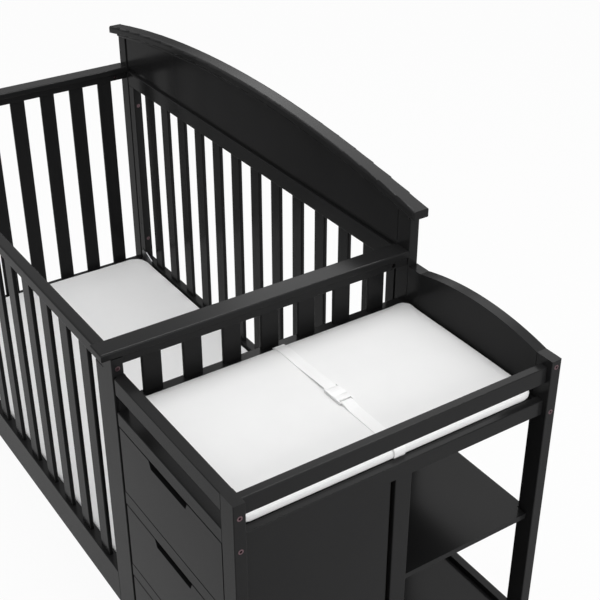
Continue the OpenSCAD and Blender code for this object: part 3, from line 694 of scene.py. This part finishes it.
@dataclass
class PaddedSlab:
    """A foam slab in a sewn cover: rounded corners, full sides and a crowned top.

    corner is the radius of the upright corners and edge that of the rims. inset and crown are how
    far the slab starts inside its space at the sides and the top, travel is how far its cover may
    swell, and the growths are how far it then stands proud of its node's box.
    """

    node: str
    name: str
    cover: Cover
    corner: float
    edge: float
    inset: float
    crown: float
    voxel: float
    travel: float
    grow_low: Sequence[float] = (0.0, 0.0, 0.0)
    grow_high: Sequence[float] = (0.0, 0.0, 0.0)
    pressure: float = 4.0
    frames: int = 20
    fill: float = 0.8
    corner_steps: int = 8
    edge_steps: int = 4

    def shape(self) -> bpy.types.Object:
        """Models the slab before its foam pushes the cover out.

        Returns:
            The slab.
        """
        low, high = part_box(self.node)
        low += Vector((self.inset, self.inset, 0.0))
        high -= Vector((self.inset, self.inset, self.crown))

        def is_corner(one: Vector, two: Vector) -> bool:
            """Says whether an edge stands upright."""
            return abs(one.z - two.z) > self.edge

        def is_rim(one: Vector, two: Vector) -> bool:
            """Says whether an edge lies level, at the top or at the base."""
            at_end = min(abs(one.z - high.z), abs(one.z - low.z)) < MM
            return at_end and abs(one.z - two.z) < MM

        slab = Bench.block(self.name, low, high)
        Bench.bevel_edges(slab, is_corner, self.corner, self.corner_steps)
        Bench.bevel_edges(slab, is_rim, self.edge, self.edge_steps)
        return slab

    def puff(self, slab: bpy.types.Object) -> None:
        """Lets the cover swell under the foam's pressure, each point by a capped distance.

        Args:
            slab: the slab.
        """
        Bench.apply(slab, "REMESH", mode="VOXEL", voxel_size=self.voxel)
        rest = [vertex.co.copy() for vertex in slab.data.vertices]
        floor = min(point.z for point in rest)
        base = slab.vertex_groups.new(name="base")
        base.add([i for i, point in enumerate(rest) if point.z < floor + MM], 1.0, "REPLACE")
        cloth = slab.modifiers.new("cover", "CLOTH")
        cloth.settings.use_pressure = True
        cloth.settings.uniform_pressure_force = self.pressure
        cloth.settings.effector_weights.gravity = 0.0
        cloth.settings.vertex_group_mass = base.name
        cloth.point_cache.frame_start = 1
        cloth.point_cache.frame_end = self.frames
        for step in range(1, self.frames + 1):
            bpy.context.scene.frame_set(step)
        Bench.pick(slab)
        bpy.ops.object.modifier_apply(modifier=cloth.name)
        bpy.context.scene.frame_set(1)
        for vertex, start in zip(slab.data.vertices, rest, strict=True):
            moved = vertex.co - start
            vertex.co = start + moved * min(1.0, self.travel / max(moved.length, TINY))
        slab.vertex_groups.clear()

    def fill_space(self, slab: bpy.types.Object) -> None:
        """Stretches the slab to its node's box, with its growth on each side.

        Args:
            slab: the slab.
        """
        low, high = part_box(self.node)
        low -= Vector(self.grow_low)
        high += Vector(self.grow_high)
        points = [vertex.co for vertex in slab.data.vertices]
        for axis in range(3):
            least = min(point[axis] for point in points)
            span = max(point[axis] for point in points) - least
            for point in points:
                share = (point[axis] - least) / span
                point[axis] = low[axis] + (high[axis] - low[axis]) * share

    def build(self, material: bpy.types.Material) -> bpy.types.Object:
        """Builds the piece and dresses it.

        Args:
            material: the cover's material.

        Returns:
            The slab.
        """
        slab = self.shape()
        self.puff(slab)
        Bench.apply(slab, "SUBSURF", levels=1, render_levels=1)
        self.fill_space(slab)
        Bench.smooth(slab, math.radians(180))
        Bench.dress(slab, material)
        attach(slab, self.node)
        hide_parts(self.node)
        report(slab)
        return slab


# ---- Strap and buckle ----


@dataclass(frozen=True)
class Fit:
    """Where the buckle sits, and the sizes that it shares with the webbing.

    left and right are its ends, middle its middle line and base its height. bar is the width of
    the bar that the webbing goes round, bar_top its height, slot the width of the slot behind it,
    and play the room between webbing and plastic.
    """

    left: float
    right: float
    middle: float
    base: float
    bar: float = 0.0046
    bar_top: float = 0.0024
    slot: float = 0.0032
    webbing: float = 0.0262
    thick: float = 0.0013
    play: float = 0.0002

    @classmethod
    def read(
        cls,
        left_in: float = 0.013,
        right_out: float = 0.007,
        backwards: float = 0.005,
        sunk: float = 0.001,
    ) -> "Fit":
        """Reads the buckle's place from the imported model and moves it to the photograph's.

        Args:
            left_in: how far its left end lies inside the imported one.
            right_out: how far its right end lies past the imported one.
            backwards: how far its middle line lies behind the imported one.
            sunk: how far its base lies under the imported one.

        Returns:
            The buckle's place and sizes.
        """
        low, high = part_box("strap_buckle")
        return cls(
            left=low.x + left_in,
            right=high.x + right_out,
            middle=(low.y + high.y) / 2.0 + backwards,
            base=low.z - sunk,
        )


def eased(share: float) -> float:
    """Eases a share between 0 and 1, so that it starts and ends level."""
    return share * share * (3.0 - 2.0 * share)


@dataclass
class StrapRun:
    """One length of the pad's strap: up the pad's side, over its top and round a buckle's bar.

    side is 1 for the right run and -1 for the left, drop the height of its lower end, outer its
    place beside the pad, slack the length over which it rises to the buckle, tail what is left
    behind the bar, and shoulder the radius over the pad's edge.
    """

    name: str
    fit: Fit
    side: float
    drop: float
    outer: float
    slack: float
    tail: float = 0.012
    shoulder: float = 0.005
    stations: int = 60
    arc_steps: int = 8
    steps: int = 260
    rows: int = 6
    hem: float = 0.0003
    headroom: float = 0.05

    def ground(self, pad: bpy.types.Object) -> Callable[[float], float]:
        """Gives a test for the height of the pad's top along the strap.

        Args:
            pad: the changing pad.

        Returns:
            A function from the place along the pad to the highest point under the strap.
        """
        tree = BVHTree.FromObject(pad, bpy.context.evaluated_depsgraph_get())
        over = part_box("changing_pad")[1].z + self.headroom
        shares = (-0.5, -0.25, 0.0, 0.25, 0.5)
        across = [self.fit.middle + share * self.fit.webbing for share in shares]

        def height(x: float) -> float:
            """Gives the pad's height under the strap.

            Args:
                x: the place along the pad.

            Returns:
                The height.
            """
            hits = [tree.ray_cast(Vector((x, y, over)), DOWN)[0] for y in across]
            return max(hit.z for hit in hits if hit is not None)

        return height

    def arc(
        self, centre: tuple[float, float], radius: float, start: float, end: float
    ) -> list[tuple[float, float]]:
        """Gives the points of an arc in the plane of the strap's line.

        Args:
            centre: its centre.
            radius: its radius.
            start: its first angle in degrees, from outwards over up.
            end: its last angle.

        Returns:
            The points.
        """
        shares = [step / self.arc_steps for step in range(self.arc_steps + 1)]
        angles = [math.radians(start + (end - start) * share) for share in shares]
        x, z = centre
        return [(x + self.side * radius * math.cos(a), z + radius * math.sin(a)) for a in angles]

    def route(self, pad: bpy.types.Object) -> list[tuple[float, float]]:
        """Works out the line that the middle of the strap's thickness follows.

        Args:
            pad: the changing pad.

        Returns:
            The points, each a place along the pad and a height.
        """
        height, fit, half = self.ground(pad), self.fit, self.fit.thick / 2.0
        edge = fit.right if self.side > 0.0 else fit.left
        above = fit.base + fit.bar_top + half + fit.play
        below = fit.base - half - fit.play

        bend = self.outer - self.side * self.shoulder
        shoulder_top = height(bend - self.side * self.shoulder) + half + fit.play
        line = [(self.outer, self.drop)]
        line += self.arc((bend, shoulder_top - self.shoulder), self.shoulder, 0.0, 90.0)

        for step in range(1, self.stations):
            x = bend + (edge - bend) * step / self.stations
            resting = height(x) + half + fit.play
            near = max(0.0, 1.0 - abs(edge - x) / self.slack)
            line.append((x, resting + (above - resting) * eased(near)))

        radius = (above - below) / 2.0
        inner = edge - self.side * (fit.bar + fit.play + half)
        line.append((edge, above))
        line += self.arc((inner + self.side * radius, below + radius), radius, 90.0, 270.0)
        line.append((edge + self.side * self.tail, below))
        return line

    def lay(self, strip: bpy.types.Object, line: list[tuple[float, float]]) -> float:
        """Bends a flat strip, one unit square, along a line.

        Args:
            strip: the strip.
            line: the line, each point a place along the pad and a height.

        Returns:
            The line's length.
        """
        lengths = [0.0]
        for one, two in zip(line, line[1:]):
            lengths.append(lengths[-1] + math.dist(one, two))
        for vertex in strip.data.vertices:
            at = (vertex.co.x + 0.5) * lengths[-1]
            spot = max(i for i in range(len(line) - 1) if lengths[i] <= at + TINY)
            share = (at - lengths[spot]) / max(lengths[spot + 1] - lengths[spot], TINY)
            x, z = (a + (b - a) * share for a, b in zip(line[spot], line[spot + 1]))
            vertex.co = (x, self.fit.middle + vertex.co.y * self.fit.webbing, z)
        return lengths[-1]

    def build(
        self, pad: bpy.types.Object, material: Callable[[float], bpy.types.Material]
    ) -> bpy.types.Object:
        """Models the run and dresses it.

        Args:
            pad: the changing pad.
            material: gives the webbing's material for a length.

        Returns:
            The run.
        """
        line = self.route(pad)
        Bench.clear()
        bpy.ops.mesh.primitive_grid_add(
            x_subdivisions=self.steps, y_subdivisions=self.rows, size=1.0
        )
        piece = Bench.name(self.name)
        piece.data.uv_layers.active.name = STRAP_MAP
        length = self.lay(piece, line)
        Bench.apply(piece, "SOLIDIFY", thickness=self.fit.thick, offset=0.0)
        Bench.outwards(piece)
        Bench.apply(piece, "BEVEL", width=self.hem, segments=2, limit_method="ANGLE")
        Bench.smooth(piece)
        Bench.dress(piece, material(length))
        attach(piece, "changing_pad")
        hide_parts("pad_strap")
        report(piece)
        return piece


@dataclass
class Buckle:
    """A side-release buckle: a socket on the left and the plug that snaps into it.

    Lengths along the strap are measured from the buckle's left end, and heights from its base.
    split is the share of its length that the socket takes, wall the thickness of the socket's top
    and base, cheek that of its sides, window where its side windows start and end, and window_in
    their depth. guide, arm and head are the plug's middle tongue, its two prongs and their ends:
    where each starts, and how far it lies from the middle line or from the buckle's side.
    """

    fit: Fit
    width: float = 0.0335
    height: float = 0.0056
    split: float = 0.58
    corner: float = 0.004
    corner_steps: int = 5
    ease: float = 0.0005
    gap: float = 0.0003
    wall: float = 0.0011
    cheek: float = 0.0022
    window: tuple[float, float] = (0.013, 0.027)
    window_in: float = 0.0034
    root: float = 0.002
    guide_start: float = 0.017
    guide_half: float = 0.002
    arm_start: float = 0.015
    arm_in: tuple[float, float] = (0.0066, 0.0038)
    head: tuple[float, float] = (0.0145, 0.026)
    head_in: tuple[float, float] = (0.006, 0.0002)
    over: float = 0.002

    def slab(
        self,
        name: str,
        along: Sequence[float],
        across: Sequence[float],
        up: Sequence[float],
    ) -> bpy.types.Object:
        """Adds a block, placed from the buckle's left end, its middle line and its base.

        Args:
            name: its name.
            along: its two ends along the strap, in either order.
            across: its two sides, in either order.
            up: its lowest and highest height.

        Returns:
            The block.
        """
        origin = Vector((self.fit.left, self.fit.middle, self.fit.base))
        low = Vector((min(along), min(across), min(up)))
        high = Vector((max(along), max(across), max(up)))
        return Bench.block(name, origin + low, origin + high)

    def frame(self, name: str, start: float, end: float, outer: float) -> bpy.types.Object:
        """Models one half's body, with its webbing slot and its thin bar.

        Args:
            name: the half's name.
            start: where the body begins.
            end: where it ends.
            outer: the end that takes the webbing.

        Returns:
            The body.
        """
        half, fit = self.width / 2.0, self.fit
        body = self.slab(name, (start, end), (-half, half), (0.0, self.height))
        outer_x = fit.left + outer

        def is_corner(one: Vector, two: Vector) -> bool:
            """Says whether an edge stands upright at the end that takes the webbing."""
            return abs(one.z - two.z) > MM and abs(one.x - outer_x) < MM

        Bench.bevel_edges(body, is_corner, self.corner, self.corner_steps)
        inward = 1.0 if outer == start else -1.0
        reach = fit.webbing / 2.0 + 2.0 * fit.play
        clear = self.height + self.over
        slot = (outer + inward * fit.bar, outer + inward * (fit.bar + fit.slot))
        Bench.carve(body, self.slab("slot", slot, (-reach, reach), (-self.over, clear)))
        bar = (outer - inward * self.over, outer + inward * (fit.bar + fit.play))
        Bench.carve(body, self.slab("bar", bar, (-reach, reach), (fit.bar_top, clear)))
        return body

    def socket(self, middle: float) -> bpy.types.Object:
        """Models the socket, open at its mouth and at its two side windows.

        Args:
            middle: where it meets the plug.

        Returns:
            The socket.
        """
        body = self.frame("buckle_socket", 0.0, middle, 0.0)
        half, hollow = self.width / 2.0, (self.wall, self.height - self.wall)
        for turn in BOTH_SIDES:
            across = (turn * (half - self.window_in), turn * (half + self.over))
            Bench.carve(body, self.slab("window", self.window, across, hollow))
        mouth, along = half - self.cheek, (self.window[0] - MM, middle + self.over)
        Bench.carve(body, self.slab("mouth", along, (-mouth, mouth), hollow))
        return body

    def plug(self, middle: float, length: float) -> bpy.types.Object:
        """Models the plug, with its guide and two sprung prongs.

        Args:
            middle: where it meets the socket.
            length: where it ends.

        Returns:
            The plug.
        """
        body = self.frame("buckle_plug", middle + self.gap, length, length)
        half, root = self.width / 2.0, middle + self.root
        thick = (self.wall + self.gap, self.height - self.wall - self.gap)
        guide = (-self.guide_half, self.guide_half)
        Bench.carve(body, self.slab("guide", (self.guide_start, root), guide, thick), "UNION")
        for turn in BOTH_SIDES:
            arm = [turn * (half - inwards) for inwards in self.arm_in]
            Bench.carve(body, self.slab("arm", (self.arm_start, root), arm, thick), "UNION")
            head = [turn * (half - inwards) for inwards in self.head_in]
            Bench.carve(body, self.slab("head", self.head, head, thick), "UNION")
        return body

    def build(self, material: bpy.types.Material) -> list[bpy.types.Object]:
        """Builds both halves and dresses them.

        Args:
            material: the plastic.

        Returns:
            The two halves.
        """
        length = self.fit.right - self.fit.left
        middle = length * self.split
        halves = [self.socket(middle), self.plug(middle, length)]
        for half in halves:
            Bench.apply(half, "BEVEL", width=self.ease, segments=2, limit_method="ANGLE")
            Bench.smooth(half)
            Bench.dress(half, material)
            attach(half, "changing_pad")
            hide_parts("strap_buckle")
            report(half)
        return halves


# ---- Rigid pieces ----


@dataclass(frozen=True)
class Joinery:
    """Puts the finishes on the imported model's rigid pieces, by words in their names.

    A piece with a word of upright has upright grain, one that starts with a word of across has
    grain from front to back, and any other has grain along the crib.
    """

    upright: tuple[str, ...] = ("post", "leg", "stile", "slats")
    across: tuple[str, ...] = (
        "left_",
        "middle_top_rail",
        "middle_bottom",
        "middle_cap",
        "side_",
        "changer_side",
    )
    steel: tuple[str, ...] = (
        "support_frame",
        "support_straps",
        "support_brackets",
        "runner_channels",
        "drawer_slides",
    )

    def grain_of(self, node: str) -> Grain:
        """Gives the way that a piece's grain runs.

        Args:
            node: the piece's name.

        Returns:
            The grain.
        """
        if any(word in node for word in self.upright):
            return Grain.UPRIGHT
        return Grain.ACROSS if node.startswith(self.across) else Grain.ALONG

    def slot_of(self, node: str) -> str:
        """Gives the material slot that a piece belongs to.

        Args:
            node: the piece's name.

        Returns:
            The slot's name.
        """
        if node.startswith(self.steel):
            return "steel"
        if node == "bolts_and_nuts":
            return "bolt_steel"
        return "drawer_wood" if node.endswith("_box") else "lacquer"

    def dress(self, finishes: dict[str, bpy.types.Material]) -> None:
        """Gives every rigid piece its material.

        Args:
            finishes: the materials of all slots but the lacquer's, by slot.
        """
        lacquers = {grain: Lacquer().make(grain) for grain in Grain}
        for name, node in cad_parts.items():
            slot = self.slot_of(name)
            finish = lacquers[self.grain_of(name)] if slot == "lacquer" else finishes[slot]
            for index in range(len(node.material_slots)):
                node.material_slots[index].material = finish
            log.info("%s: %s", name, finish.name)


# ---- Studio ----


@dataclass(frozen=True)
class Softbox:
    """A rectangular softbox. A gloss panel is only seen in shiny surfaces and lights nothing."""

    name: str
    place: tuple[float, float, float]
    aim: tuple[float, float, float]
    size: tuple[float, float]
    power: float
    gloss_only: bool = False

    def hang(self) -> None:
        """Hangs the softbox and turns it to what it faces."""
        Bench.clear()
        bpy.ops.object.light_add(type="AREA", location=self.place)
        lamp = bpy.context.view_layer.objects.active
        lamp.name = self.name
        lamp.data.shape = "RECTANGLE"
        lamp.data.size, lamp.data.size_y = self.size
        lamp.data.energy = self.power
        way = Vector(self.aim) - Vector(self.place)
        lamp.rotation_euler = way.to_track_quat("-Z", "Y").to_euler()
        lamp.visible_diffuse = not self.gloss_only


@dataclass
class Studio:
    """Camera, floor, backdrop and light.

    eye, turn (in degrees), lens and shift place the camera. ambient is the backdrop's strength as
    a light. floor_glow and floor_gloss are how white the floor is to the eye and to gloss. The
    flag is a dark panel that only shows in gloss.
    """

    eye: tuple[float, float, float] = (2.28646, -1.11962, 2.18301)
    turn: tuple[float, float, float] = (58.727, 0.0748, 56.465)
    lens: float = 71.533
    shift: tuple[float, float] = (0.00566, -0.00239)
    ambient: float = 0.55
    floor_size: float = 40.0
    floor_roughness: float = 0.9
    floor_grey: float = 0.74
    floor_glow: float = 0.95
    floor_gloss: float = 0.1
    flag_place: tuple[float, float, float] = (-4.0, 2.2, 1.05)
    flag_size: tuple[float, float] = (4.0, 2.1)
    flag_turn: float = 62.0
    flag_glow: float = 0.18
    softboxes: tuple[Softbox, ...] = (
        Softbox("key_softbox", (-0.4, 0.1, 4.3), (0.0, 0.0, 0.5), (2.4, 2.4), 68.0),
        Softbox("fill_softbox", (3.6, 0.7, 1.5), (0.3, 0.0, 0.5), (2.0, 2.0), 50.0),
        Softbox("edge_gloss_panel", (0.1, 1.3, 4.0), (0.3, 0.1, 0.8), (1.8, 1.8), 130.0, True),
        Softbox("low_gloss_panel", (-2.42, 1.97, 2.46), (0.0, 0.4, 1.0), (1.2, 0.6), 5.0, True),
        Softbox("gloss_panel", (-0.9, 1.5, 2.5), (0.5, 0.1, 0.8), (1.5, 0.9), 8.5, True),
    )

    def camera(self) -> None:
        """Sets up the camera where the photographer's stood."""
        Bench.clear()
        bpy.ops.object.camera_add(location=self.eye)
        camera = bpy.context.view_layer.objects.active
        camera.rotation_euler = tuple(math.radians(angle) for angle in self.turn)
        camera.data.lens = self.lens
        camera.data.shift_x, camera.data.shift_y = self.shift
        bpy.context.scene.camera = camera

    def ray(self, board: Board, kind: str) -> Signal:
        """Gives whether a ray is of a kind."""
        return board.node("ShaderNodeLightPath", out=f"Is {kind} Ray")

    def floor(self) -> None:
        """Lays a plain white floor that keeps the crib's shadow."""
        Bench.clear()
        bpy.ops.mesh.primitive_plane_add(size=self.floor_size)
        floor = Bench.name("floor")
        paint = Paint("floor_white")
        paint.set(Base_Color=(*[self.floor_grey] * 3, 1.0), Roughness=self.floor_roughness)
        mirrored = self.ray(paint, "Glossy") * self.floor_gloss
        seen = self.ray(paint, "Camera").larger(mirrored).larger(self.ray(paint, "Transmission"))
        plain = paint.node("ShaderNodeEmission", None, {"Strength": 1.0})
        lit = Signal(paint, paint.shader.outputs[0])
        feeds = {0: seen * self.floor_glow, 1: lit, 2: plain}
        mixed = paint.node("ShaderNodeMixShader", None, feeds)
        paint.end(mixed, "Material Output", "Surface")
        Bench.dress(floor, paint.material)

    def flag(self) -> None:
        """Stands a dark panel off to the left, which only shows in the gloss of the headboard."""
        Bench.clear()
        bpy.ops.mesh.primitive_plane_add(size=1.0, location=self.flag_place)
        panel = Bench.name("dark_flag")
        panel.scale = (*self.flag_size, 1.0)
        panel.rotation_euler = (math.radians(90.0), 0.0, math.radians(self.flag_turn))
        Bench.settle(panel)
        paint = Paint("flag_grey")
        dark = paint.node("ShaderNodeEmission", None, {"Strength": self.flag_glow})
        paint.end(dark, "Material Output", "Surface")
        Bench.dress(panel, paint.material)
        panel.visible_camera = panel.visible_diffuse = panel.visible_shadow = False
        panel.visible_transmission = False

    def world(self) -> None:
        """Makes the backdrop white to the eye and to gloss, and softer as a light."""
        world = bpy.data.worlds.new("studio")
        bpy.context.scene.world = world
        world.use_nodes = True
        board = Board(world.node_tree)
        seen = self.ray(board, "Camera").larger(self.ray(board, "Glossy"))
        seen = seen.larger(self.ray(board, "Transmission"))
        board.end(seen * (1.0 - self.ambient) + self.ambient, "Background", "Strength")
        board.nodes["Background"].inputs["Color"].default_value = (1.0, 1.0, 1.0, 1.0)

    def build(self) -> None:
        """Sets up the whole studio."""
        bpy.context.scene.view_settings.view_transform = "Standard"
        self.camera()
        self.floor()
        self.world()
        self.flag()
        for softbox in self.softboxes:
            softbox.hang()


def main() -> None:
    """Builds the studio and dresses the crib."""
    logging.basicConfig(level=logging.INFO, format="%(name)s: %(message)s")
    Studio().build()
    finishes = {
        "steel": PlatedSteel("dull_steel", (0.2, 0.2, 0.205, 1.0), (0.1, 0.1, 0.105, 1.0)).make(),
        "bolt_steel": PlatedSteel(
            "bronzed_steel", (0.19, 0.125, 0.137, 1.0), (0.1, 0.06, 0.068, 1.0)
        ).make(),
        "drawer_wood": DrawerBoard().make(),
    }
    Joinery().dress(finishes)
    mattress_cloth = CoverCloth(
        cover=Cover.MATTRESS,
        light=(0.98, 0.98, 0.98, 1.0),
        shade=(0.93, 0.93, 0.93, 1.0),
        threads=900.0,
    )
    pad_cloth = CoverCloth(
        cover=Cover.PAD,
        light=(0.88, 0.88, 0.876, 1.0),
        shade=(0.81, 0.81, 0.81, 1.0),
        threads=1100.0,
    )
    PaddedSlab(
        node="mattress",
        name="crib_mattress",
        cover=Cover.MATTRESS,
        corner=0.048,
        edge=0.008,
        inset=0.002,
        crown=0.002,
        voxel=0.01,
        travel=0.004,
        grow_low=(0.007, 0.005, 0.0),
        grow_high=(0.004, 0.006, 0.004),
    ).build(mattress_cloth.make())
    pad = PaddedSlab(
        node="changing_pad",
        name="pad",
        cover=Cover.PAD,
        corner=0.028,
        edge=0.006,
        inset=0.002,
        crown=0.002,
        voxel=0.005,
        travel=0.003,
    ).build(pad_cloth.make())
    fit, webbing = Fit.read(), Webbing()
    low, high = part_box("pad_strap")
    half = fit.thick / 2.0
    left = StrapRun("strap_left", fit, side=-1.0, drop=low.z, outer=low.x + half, slack=0.11)
    right = StrapRun("strap_right", fit, side=1.0, drop=low.z, outer=high.x - half, slack=0.03)
    left.build(pad, webbing.make)
    right.build(pad, webbing.make)
    Buckle(fit).build(MouldedPlastic().make())


if __name__ == "__main__":
    main()
